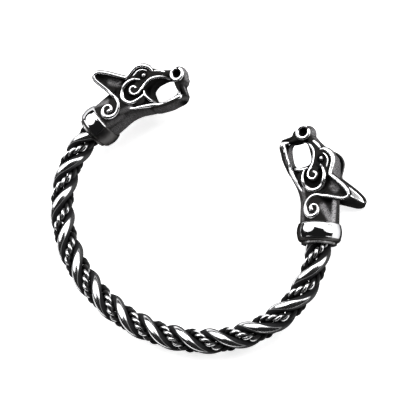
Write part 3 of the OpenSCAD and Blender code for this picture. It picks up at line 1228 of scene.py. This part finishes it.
@dataclass
class WolfHead:
    """A cast wolf's head with an open mouth, upright ears and raised curls."""

    line: RingLine
    step: float = 0.127
    quick_step: float = 0.16

    # Sections of the body: place, top, bottom, half width, squareness and taper.
    back_rows: Table = (
        (-0.2, 4.5, -4.5, 4.5, 2.0, 0.0), (2.8, 4.5, -4.5, 4.5, 2.0, 0.0),
        (5.9, 4.4, -4.6, 4.32, 2.1, 0.0), (8.3, 4.1, -5.3, 4.27, 2.4, 0.06),
        (10.9, 3.75, -6.65, 4.1, 3.4, 0.12), (13.15, 3.6, -7.9, 3.5, 3.4, 0.2),
    )
    muzzle_rows: Table = (
        (11.2, 3.7, -2.5, 3.8, 3.6, 0.0), (13.3, 3.95, -1.9, 3.7, 3.8, 0.0),
        (15.1, 3.95, -1.7, 3.5, 3.8, 0.0), (16.35, 3.45, -1.8, 3.25, 3.4, 0.0),
        (17.5, 2.2, -2.1, 2.74, 2.6, 0.0), (18.65, 0.85, -2.8, 2.36, 2.3, 0.0),
        (19.85, -0.4, -3.6, 2.2, 2.0, 0.0), (21.1, -1.5, -4.8, 2.2, 2.0, 0.0),
    )
    jaw_rows: Table = (
        (11.85, -5.5, -7.25, 2.86, 2.6, 0.0), (13.6, -6.75, -8.3, 2.82, 2.4, 0.05),
        (15.2, -7.6, -9.1, 2.7, 2.4, 0.1), (16.8, -8.1, -9.6, 2.53, 2.3, 0.1),
        (18.25, -8.3, -10.1, 2.36, 2.2, 0.1), (19.5, -8.4, -10.05, 1.95, 2.0, 0.1),
        (20.3, -8.7, -9.5, 1.3, 2.0, 0.0),
    )

    # Ellipsoids: centre and radii.
    nose_balls: tuple[Table, ...] = (
        ((21.75, -3.5, 0.0), (1.95, 2.0, 2.35)), ((21.3, -5.3, 0.0), (1.7, 1.9, 2.1)),
    )
    mouth_fill: Table = ((16.0, -4.9, 0.0), (4.6, 4.2, 2.3))
    eye_socket: Table = ((15.0, 1.0, 4.0), (2.1, 1.15, 0.95))
    eyeball: Table = ((15.15, 1.05, 3.2), (0.6, 0.46, 0.6))

    # Bars and free ribs: x, y, z and radius.
    nose_barrel: Table = ((21.75, -3.9, 0.0, 1.6), (21.75, -3.9, 1.05, 1.45))
    lip_wall: Table = ((20.6, -6.6, 0.7, 0.7), (20.2, -8.2, 0.6, 0.62), (20.0, -9.2, 0.6, 0.5))
    nostril: Table = ((21.7, -3.95, 3.4, 1.1), (21.7, -3.95, 1.6, 0.85))
    upper_fang: Table = (
        (20.3, -5.4, 1.6, 0.6), (19.85, -6.6, 1.6, 0.42), (19.6, -7.9, 1.6, 0.16),
    )
    lower_fang: Table = (
        (19.0, -8.9, 1.95, 0.66), (19.25, -8.2, 1.85, 0.42), (19.5, -7.3, 1.7, 0.15),
    )
    ear_root: Table = ((7.8, 2.6, 2.6, 1.2), (7.4, 4.6, 3.5, 0.75), (7.0, 6.2, 4.4, 0.3))
    brow: Table = (
        (11.2, 3.45, 3.75, 0.4), (12.2, 3.5, 3.7, 0.42), (13.4, 3.8, 3.6, 0.47),
        (14.8, 3.98, 3.5, 0.5), (15.9, 3.6, 3.4, 0.5), (16.75, 2.8, 3.25, 0.48),
        (17.35, 1.7, 3.0, 0.44), (17.4, 0.7, 2.8, 0.3),
    )
    lid: Table = (
        (12.2, 2.3, 3.85, 0.1), (13.4, 2.6, 3.75, 0.15), (14.7, 2.75, 3.65, 0.18),
        (15.6, 2.4, 3.5, 0.18), (16.2, 1.8, 3.3, 0.17), (16.5, 1.1, 3.1, 0.12),
    )

    # Ribs and grooves laid on the side of the head: x, y and radius.
    lip: Table = (
        (19.5, -3.2, 0.34), (18.8, -2.25, 0.4), (17.8, -1.4, 0.4), (16.3, -0.8, 0.38),
        (14.6, -0.8, 0.34), (13.2, -1.25, 0.34),
    )
    lip_curl: Curl = Curl((11.35, -0.45), (1.6, 0.55), (-32, -350), (0.32, 0.38), late=0.8)
    mouth_corner: Table = (
        (13.0, -2.2, 0.2), (12.65, -3.3, 0.34), (12.75, -4.5, 0.36), (13.25, -6.0, 0.36),
        (14.0, -7.1, 0.34),
    )
    jaw_rim: Table = (
        (7.1, -2.85, 0.1), (8.6, -4.0, 0.28), (10.3, -5.0, 0.4), (12.0, -6.0, 0.48),
        (13.8, -7.0, 0.5), (15.2, -7.7, 0.48), (16.6, -8.2, 0.54), (17.8, -8.5, 0.6),
        (18.6, -8.8, 0.62), (19.0, -8.95, 0.56),
    )
    neck_curl: Table = (
        (3.2, -0.55, 0.5), (3.85, -0.7, 0.42), (4.3, -0.1, 0.36), (4.05, 0.65, 0.32),
        (3.2, 1.0, 0.32), (2.2, 0.65, 0.42), (1.7, -0.2, 0.54), (1.8, -1.1, 0.6),
        (2.6, -1.8, 0.6), (3.65, -2.1, 0.52), (4.75, -1.9, 0.46), (5.7, -1.3, 0.42),
        (6.35, -0.4, 0.4), (6.55, 0.5, 0.4), (6.52, 1.2, 0.39),
    )
    cheek: Curl = Curl(
        (11.0, -0.5), (1.0, 1.0), (34, 296), (0.17, 0.17), stretch=(3.25, 2.62), swell=0.42,
        swell_span=(0.06, 0.96), swell_power=1.2, steps=20,
    )
    moat: Curl = Curl((11.2, -0.45), (2.1, 2.0), (60, 330), (0.6, 0.45), stretch=(1.0, 0.9))
    channel: Table = (
        (8.9, 3.4, 1.1), (8.3, 1.6, 1.0), (7.9, -0.4, 0.9), (8.2, -2.4, 0.7), (9.0, -3.6, 0.4),
    )
    flank: Table = ((9.6, -4.6, 0.25), (11.4, -5.0, 0.4), (12.4, -4.4, 0.45), (12.6, -3.6, 0.3))
    bridge: Table = ((17.9, 0.35, 0.25), (18.7, -0.35, 0.4), (19.5, -1.3, 0.3))
    nostril_ring: Curl = Curl(
        (21.72, -3.95), (1.42, 1.42), (70, 385), (0.3, 0.3), swell=0.2, swell_span=(0.1, 0.95),
        steps=20,
    )
    nostril_side: float = 2.15

    # The ear's rims, and shifts from its rims and the brow, each with a radius.
    ear_rear: Table = (
        (6.3, 2.2, 4.35), (6.1, 3.8, 4.5), (5.7, 5.6, 5.1), (5.35, 7.4, 5.75), (5.6, 8.5, 6.0),
    )
    ear_front: Table = (
        (11.2, 3.5, 3.7), (10.2, 4.8, 4.15), (9.35, 5.9, 4.75), (8.2, 7.3, 5.45), (7.0, 8.4, 5.95),
    )
    ear_tip: Triple = (6.15, 8.75, 6.05)
    ear_box: Table = ((4.2, 1.0, 1.0), (13.0, 9.6, 7.1))
    ear_wall: float = 0.7
    ear_ridge: float = 0.75
    ear_ridge_reach: float = 1.2
    ear_dish: float = 0.9
    ear_dish_reach: float = 1.5
    ear_rear_rib: tuple[float, ...] = (0.0, 0.0, 0.0, 0.36)
    ear_front_rib: tuple[float, ...] = (0.0, 0.04, 0.08, 0.42)
    ear_tip_rib: tuple[float, ...] = (0.0, 0.0, 0.0, 0.34)
    ear_rear_ledge: tuple[float, ...] = (-0.27, 0.02, -0.3, 0.34)
    ear_front_ledge: tuple[float, ...] = (0.22, 0.22, -0.3, 0.38)
    brow_ledges: Table = ((0.0, -0.25, -0.4, -0.15), (0.15, 0.28, -0.45, -0.06))
    brow_parts: int = 3
    rib_evening: int = 5

    mouth_centre: Band = (16.75, -4.85)
    mouth_length: float = 6.0
    mouth_height: float = 4.5
    mouth_slope: float = -14.0
    mouth_narrowing: float = 0.1
    mouth_squareness: float = 3.2
    mouth_waist: float = 0.5
    mouth_flare: float = 0.42
    mouth_margin: float = 2.0

    # Where the metal is bright, and where painted shade, painted sheen and painted highlights fall:
    # from where to where, and how much.
    rib_heights: Band = (0.06, 0.2)
    rim_shade: Band = (0.1, 0.5)
    top_sheen: float = 0.5
    sheen_facing: Band = (0.45, 0.95)
    nose_front: Band = (19.5, 21.0)
    neck_dark: float = 0.88
    neck_reach: Band = (-8.5, -5.5)
    under_sheen: float = 0.17
    under_jaw: Band = (3.2, 4.0)
    # Painted highlight on the ear's forward facet.
    ear_highlight_strength: float = 0.95
    ear_depths: Band = (0.3, 0.5)
    ear_facing: Band = (-0.1, 0.15)
    facet_start: Band = (0.47, 0.55)
    facet_end: Band = (1.0, 1.1)
    facet_foot: Band = (4.6, 5.3)
    # Spots of painted grey highlight: start, end, reach and share.
    painted_light: tuple = (
        ((3.9, 2.0, 4.05), (1.0, 3.55, 2.75), 1.2, 0.5),
        ((0.5, 3.95, 2.15), (4.9, 4.1, 1.8), 1.1, 0.9),
        ((1.0, -2.9, 3.4), (5.0, -3.5, 2.9), 1.0, 0.3),
        ((8.9, 3.9, 3.6), (7.8, 5.0, 4.3), 1.3, 0.35),
        ((5.6, -2.6, 3.7), (8.0, -3.2, 3.3), 0.9, 0.4),
    )
    finish: MetalFinish = MetalFinish(
        "cast_metal", wear=0.06, bright=(0.86, 0.86, 0.87), black_roughness=0.34,
        bright_roughness=0.24, cast_depth=0.03, painted_light=(0.44, 0.43, 0.44),
    )
    sheen_core: float = 0.2
    clay: Clay = field(init=False)

    def hug(self, rows: Table, sink: float) -> Points:
        """A rib's line laid on the body's side.

        Args:
            rows: x, y and radius along the rib.
            sink: Share of the radius by which its middle sits in the surface.

        Returns:
            Rows of x, y, z and radius.
        """
        flat = spline(rows)
        side = np.array([self.clay.surface_side(x, y) for x, y, _ in flat])
        count = self.rib_evening
        side = np.convolve(np.pad(side, count // 2, "edge"), np.full(count, 1 / count), "valid")
        return np.stack([flat[:, 0], flat[:, 1], side - sink * flat[:, 2], flat[:, 2]], 1)

    def model_body(self) -> None:
        """Neck, skull, muzzle and jaw, with the ledge that the brow lies on."""
        self.clay.loft(self.back_rows, soft=0.9)
        self.clay.loft(self.muzzle_rows, soft=0.9)
        self.clay.loft(self.jaw_rows, soft=0.7)
        for shift in self.brow_ledges:
            ledge = spline(self.brow, self.brow_parts)[: -self.brow_parts]
            self.clay.bar(ledge + np.array(shift), soft=0.5)

    def model_nose_form(self) -> None:
        """The ball of the nose, and the wall of the lip below it."""
        for centre, radii in self.nose_balls:
            self.clay.add(*self.clay.ellipsoid(centre, radii), soft=0.5)
        self.clay.bar(self.nose_barrel, soft=0.4)
        self.clay.bar(self.lip_wall, soft=0.3)

    def model_lips(self) -> None:
        """The ribs round the mouth, laid before the mouth is cut beside them."""
        self.clay.rib(self.hug(self.lip + self.lip_curl.rows()[1:], sink=0.4))
        self.clay.rib(self.hug(self.mouth_corner, sink=0.25))
        self.clay.rib(self.hug(self.jaw_rim, sink=0.1))

    def model_mouth(self) -> None:
        """Fills the mouth between the jaws, then cuts the opening, which flares to both sides."""
        clay = self.clay
        clay.add(*clay.ellipsoid(*self.mouth_fill), soft=0.5)
        reach = self.mouth_length / 2 + self.mouth_margin
        x0, y0 = self.mouth_centre
        low = (x0 - reach, y0 - reach, -clay.FAR)
        cut = clay.window(low, (x0 + reach, y0 + reach, clay.FAR))
        x, y, z = clay.places(cut)
        along, across = turned(x - x0, y - y0, -math.radians(self.mouth_slope))
        narrow = 1 - self.mouth_narrowing * along / self.mouth_length
        u = np.abs(along) / (self.mouth_length / 2) + SMALL
        v = np.abs(across) / (self.mouth_height / 2 * narrow) + SMALL
        edge = (squared(u, v, self.mouth_squareness) - 1) * self.mouth_height / 2
        flare = self.mouth_flare * np.clip(z - self.mouth_waist, 0, None)
        clay.carve(cut, edge - flare, soft=0.35)

    def ear_rims(self) -> tuple[Points, Points]:
        """The ear's rear and front rims, from its foot to its tip."""
        return spline(self.ear_rear + (self.ear_tip,)), spline(self.ear_front + (self.ear_tip,))

    def ear_span(self, x: np.ndarray, y: np.ndarray, least: float) -> tuple[np.ndarray, np.ndarray]:
        """How places of the profile lie between the ear's rims.

        Args:
            x: The places' x.
            y: Their y.
            least: The least width to reckon with, near the tip.

        Returns:
            Their share of the way from the rear rim to the front one, and the ear's z there.
        """
        rear, front = (
            [np.interp(y, rim[:, 1], rim[:, c]) for c in (0, 2)] for rim in self.ear_rims()
        )
        share = (x - rear[0]) / np.maximum(front[0] - rear[0], least)
        return share, rear[1] + (front[1] - rear[1]) * np.clip(share, 0, 1)

    def model_ear(self) -> None:
        """A dished leaf between the ear's two rims, with a root on the back of the head."""
        clay = self.clay
        rear, front = self.ear_rims()
        cut = clay.window(*self.ear_box)
        x, y, z = clay.places(cut)
        leaf = outline_distance(x[:, :, 0], y[:, :, 0], np.concatenate([rear, front[::-1]]))
        _, lean = self.ear_span(x[:, :, 0], y[:, :, 0], least=0.3)
        dish = self.ear_dish * smoothstep(0.0, self.ear_dish_reach, -leaf)
        ridge = self.ear_ridge * np.clip(-leaf, 0, self.ear_ridge_reach)
        outer = z - (lean - dish)[:, :, None]
        inner = (lean - self.ear_wall - ridge)[:, :, None] - z
        clay.add(cut, np.maximum(np.maximum(outer, inner), leaf[:, :, None]), soft=0.35)
        clay.bar(self.ear_root, soft=0.8)
        for rim, shift in ((front, self.ear_front_ledge), (rear, self.ear_rear_ledge)):
            clay.bar(as_bar(rim, shift), soft=0.3)

    def model_hollows(self) -> None:
        """The sunk ground between the curls, the channel behind the cheek, and the eye's socket."""
        clay = self.clay
        clay.groove(self.hug(self.moat.rows(), sink=0.2))
        clay.groove(self.hug(self.channel, sink=-0.45), soft=0.8)
        clay.groove(self.hug(self.flank, sink=-0.2), soft=0.4)
        clay.carve(*clay.ellipsoid(*self.eye_socket), soft=0.35)

    def model_nostril(self) -> None:
        """The pit of a nostril and the open ring round it."""
        self.clay.groove(self.nostril, soft=0.2)
        ring = self.nostril_ring.rows()
        self.clay.rib([(x, y, self.nostril_side, radius) for x, y, radius in ring])

    def model_relief(self) -> None:
        """Everything else raised on the side of the head, with the ball of the eye."""
        clay = self.clay
        rear = as_bar(spline(self.ear_rear), self.ear_rear_rib)
        front = as_bar(spline(self.ear_front), self.ear_front_rib)
        tip = as_bar(np.array([self.ear_tip]), self.ear_tip_rib)
        clay.rib(np.concatenate([self.hug(self.neck_curl, sink=0.2), rear]))
        clay.rib(np.concatenate([rear[-1:], tip, front[::-1]]))
        clay.rib(spline(self.brow))
        clay.rib(spline(self.lid))
        clay.rib(self.hug(self.cheek.rows(), sink=0.2))
        clay.rib(self.hug(self.bridge, sink=0.1))
        clay.lift(*clay.ellipsoid(*self.eyeball))

    def model_fangs(self) -> None:
        """The corner teeth, which meet at the front of the mouth."""
        self.clay.bar(self.upper_fang, soft=0.4)
        self.clay.rib(self.lower_fang)

    def sculpt(self) -> tuple[Points, np.ndarray, dict[str, np.ndarray]]:
        """Models the head in its own frame.

        Returns:
            Points, faces and the finish's masks.
        """
        self.clay = Clay(self.step)
        self.model_body()
        self.model_nose_form()
        self.model_lips()
        self.model_mouth()
        self.model_ear()
        self.model_hollows()
        self.model_nostril()
        self.model_relief()
        self.model_fangs()
        points, faces, height, facing, openness = self.clay.mesh()
        crest = smoothstep(*self.rib_heights, height)
        # Painted shade: the ribs lose their polish where they face away from the head's side,
        # towards its outline.
        crest *= smoothstep(*self.rim_shade, np.abs(facing[:, 2]))
        # Painted highlight: polish on the forward facet of each ear's inner face.
        polish = np.maximum(crest, self.ear_facet_highlight(points, facing))
        # Painted grey sheen: the listed spots, and surfaces facing up, forward and down, less in
        # hollows.
        painted_sheen = np.maximum(self.painted_sheen(points), self.sheen_by_facing(points, facing) * openness)
        return points, faces, {"polish": polish, "open": openness, "painted_sheen": painted_sheen}

    def sheen_by_facing(self, points: Points, facing: Points) -> np.ndarray:
        """How much painted grey sheen the top, the front of the nose and the under-jaw get at each
        point, by the way they face.

        Args:
            points: The head's points.
            facing: The way the surface faces there.

        Returns:
            A share for each point.
        """
        x, y, _ = points.T
        forward = facing[:, 0] * smoothstep(*self.nose_front, x)
        upper = smoothstep(*self.sheen_facing, np.maximum(facing[:, 1], forward)) * self.top_sheen
        upper *= 1 - self.neck_dark * smoothstep(*self.neck_reach, -x)
        lower = smoothstep(*self.sheen_facing, -facing[:, 1]) * smoothstep(*self.under_jaw, -y)
        return np.maximum(upper, self.under_sheen * lower)

    def painted_sheen(self, points: Points) -> np.ndarray:
        """The painted grey highlights of the listed spots, at each point.

        Args:
            points: The head's points.

        Returns:
            A share for each point.
        """
        near = np.concatenate([points[:, :2], np.abs(points[:, 2:])], 1)
        total = np.zeros(len(points))
        for start, end, reach, share in self.painted_light:
            off, way = near - np.array(start), np.array(end) - np.array(start)
            t = np.clip(off @ way / (way @ way), 0, 1)
            gap = np.linalg.norm(off - t[:, None] * way, axis=1)
            spot = 1 - smoothstep(self.sheen_core * reach, reach, gap)
            total = np.maximum(total, share * spot)
        return total

    def ear_facet_highlight(self, points: Points, facing: Points) -> np.ndarray:
        """How bright the painted highlight on the forward facet of the ear's inner face is at each
        point.

        Args:
            points: The head's points.
            facing: The way the surface faces there.

        Returns:
            A share for each point.
        """
        x, y, z = points.T
        share, lean = self.ear_span(x, y, least=0.1)
        inner = smoothstep(*self.ear_depths, lean - np.abs(z))
        inner *= smoothstep(*self.ear_facing, -facing[:, 2] * np.sign(z))
        facet = smoothstep(*self.facet_start, share) * (1 - smoothstep(*self.facet_end, share))
        return self.ear_highlight_strength * inner * facet * smoothstep(*self.facet_foot, y)

    def build(self) -> None:
        """Builds both heads from one sculpt."""
        points, faces, masks = self.sculpt()
        in_neck = points + np.array([self.line.neck_start, 0.0, 0.0])
        for side in Side:
            name = side.name.lower()
            make_piece(
                f"wolf_head_{name}", self.line.at_end(in_neck, side),
                faces if side is Side.RIGHT else faces[:, ::-1], masks,
                self.finish.material(), [f"head_{name}"],
            )


@dataclass(frozen=True)
class SoftBox:
    """A lit panel, placed by where it stands seen from the camera's side of the ring.

    right, up and near are its direction from the ring in the camera's axes.
    """

    name: str
    right: float
    up: float
    near: float
    width: float
    height: float
    glow: float
    distance: float = 0.6


@dataclass
class Studio:
    """Pale floor, soft lights, and the camera at the photograph's angle."""

    line: RingLine
    tilt: float = 24.93
    turn: float = 23.8
    swing: float = -2.4
    distance: float = 400.0
    slide_right: float = 3.22
    slide_up: float = 4.45
    lens: float = 152.1
    near_clip: float = 0.01
    floor_size: float = 6.0
    floor_colour: Colour = (0.9, 0.9, 0.9)
    floor_roughness: float = 0.85
    floor_glow: float = 0.72
    sky: Colour = (0.016, 0.016, 0.016)
    boxes: tuple[SoftBox, ...] = (
        SoftBox("top_panel", 0.0, 1.0, 0.7, 1.2, 0.6, 2.3),
        SoftBox("left_panel", -1.0, 0.6, 0.42, 0.6, 0.75, 2.3),
        SoftBox("upper_left_panel", -0.75, 0.95, 0.55, 0.5, 0.45, 2.3),
        SoftBox("right_panel", 1.0, 0.4, 0.75, 0.45, 0.75, 2.3),
    )

    def axes(self) -> Matrix:
        """The camera's right, up and near directions in the row frame, as columns."""
        tilt = math.radians(self.tilt)
        turn = math.radians(self.turn)
        near = Vector((math.sin(tilt), 0.0, math.cos(tilt)))
        across = Vector((math.cos(tilt), 0.0, -math.sin(tilt)))
        along = Vector((0.0, 1.0, 0.0))
        right = math.cos(turn) * across + math.sin(turn) * along
        up = -math.sin(turn) * across + math.cos(turn) * along
        columns = Matrix((right, up, near)).transposed()
        swing = Matrix.Rotation(-math.radians(self.swing), 3, "Z")
        return Matrix.Rotation(self.line.rest_tilt(), 3, "X") @ swing @ columns

    def place_camera(self) -> None:
        """Adds the camera."""
        axes = self.axes()
        eye = axes @ Vector((self.slide_right, self.slide_up, self.distance)) * MM
        data = bpy.data.cameras.new("camera")
        data.lens = self.lens
        data.clip_start = self.near_clip
        data.dof.use_dof = False
        camera = add_object("camera", data)
        camera.matrix_world = Matrix.Translation(eye) @ axes.to_4x4()
        bpy.context.scene.camera = camera

    def place_lights(self) -> None:
        """Adds the lit panels, each facing the ring."""
        axes = self.axes()
        for box in self.boxes:
            way = (axes @ Vector((box.right, box.up, box.near))).normalized()
            data = bpy.data.lights.new(box.name, "AREA")
            data.shape = "ELLIPSE"
            data.size = box.width
            data.size_y = box.height
            area = math.pi / 4 * box.width * box.height
            data.energy = math.pi * area * box.glow
            lamp = add_object(box.name, data)
            lamp.location = way * box.distance
            lamp.rotation_euler = way.to_track_quat("Z", "Y").to_euler()

    def lay_floor(self, height: float) -> None:
        """Lays the floor.

        Args:
            height: The floor's height, in metres.
        """
        half = self.floor_size / 2
        corners = ((-half, -half), (half, -half), (half, half), (-half, half))
        mesh = bpy.data.meshes.new("floor")
        mesh.from_pydata([(x, y, height) for x, y in corners], [], [(0, 1, 2, 3)])
        white = (1.0, 1.0, 1.0, 1.0)
        values = {
            "Base Color": (*self.floor_colour, 1.0), "Roughness": self.floor_roughness,
            "Emission Color": white, "Emission Strength": self.floor_glow,
        }
        mesh.materials.append(Bench("pale_floor").finish(values))
        add_object("floor", mesh)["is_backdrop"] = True

    def build(self, floor_height: float) -> None:
        """Sets up floor, lights, sky and camera.

        Args:
            floor_height: The floor's height, in metres.
        """
        self.lay_floor(floor_height)
        self.place_lights()
        world = bpy.data.worlds.new("sky")
        world.use_nodes = True
        backdrop = world.node_tree.nodes["Background"]
        backdrop.inputs["Color"].default_value = (*self.sky, 1.0)
        bpy.context.scene.world = world
        bpy.context.scene.view_settings.view_transform = "Standard"
        self.place_camera()


def main() -> None:
    """Builds the ring and its studio, on a floor at the foot of the CAD parts."""
    logging.basicConfig(level=logging.INFO, format="%(message)s", stream=sys.stdout)
    cad_box = [list(corner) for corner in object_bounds()]
    line = RingLine()
    Rope(line).build()
    for side in Side:
        Ferrule(line).build(side)
    WolfHead(line).build()
    Studio(line).build(cad_box[0][2])


if __name__ == "__main__":
    main()
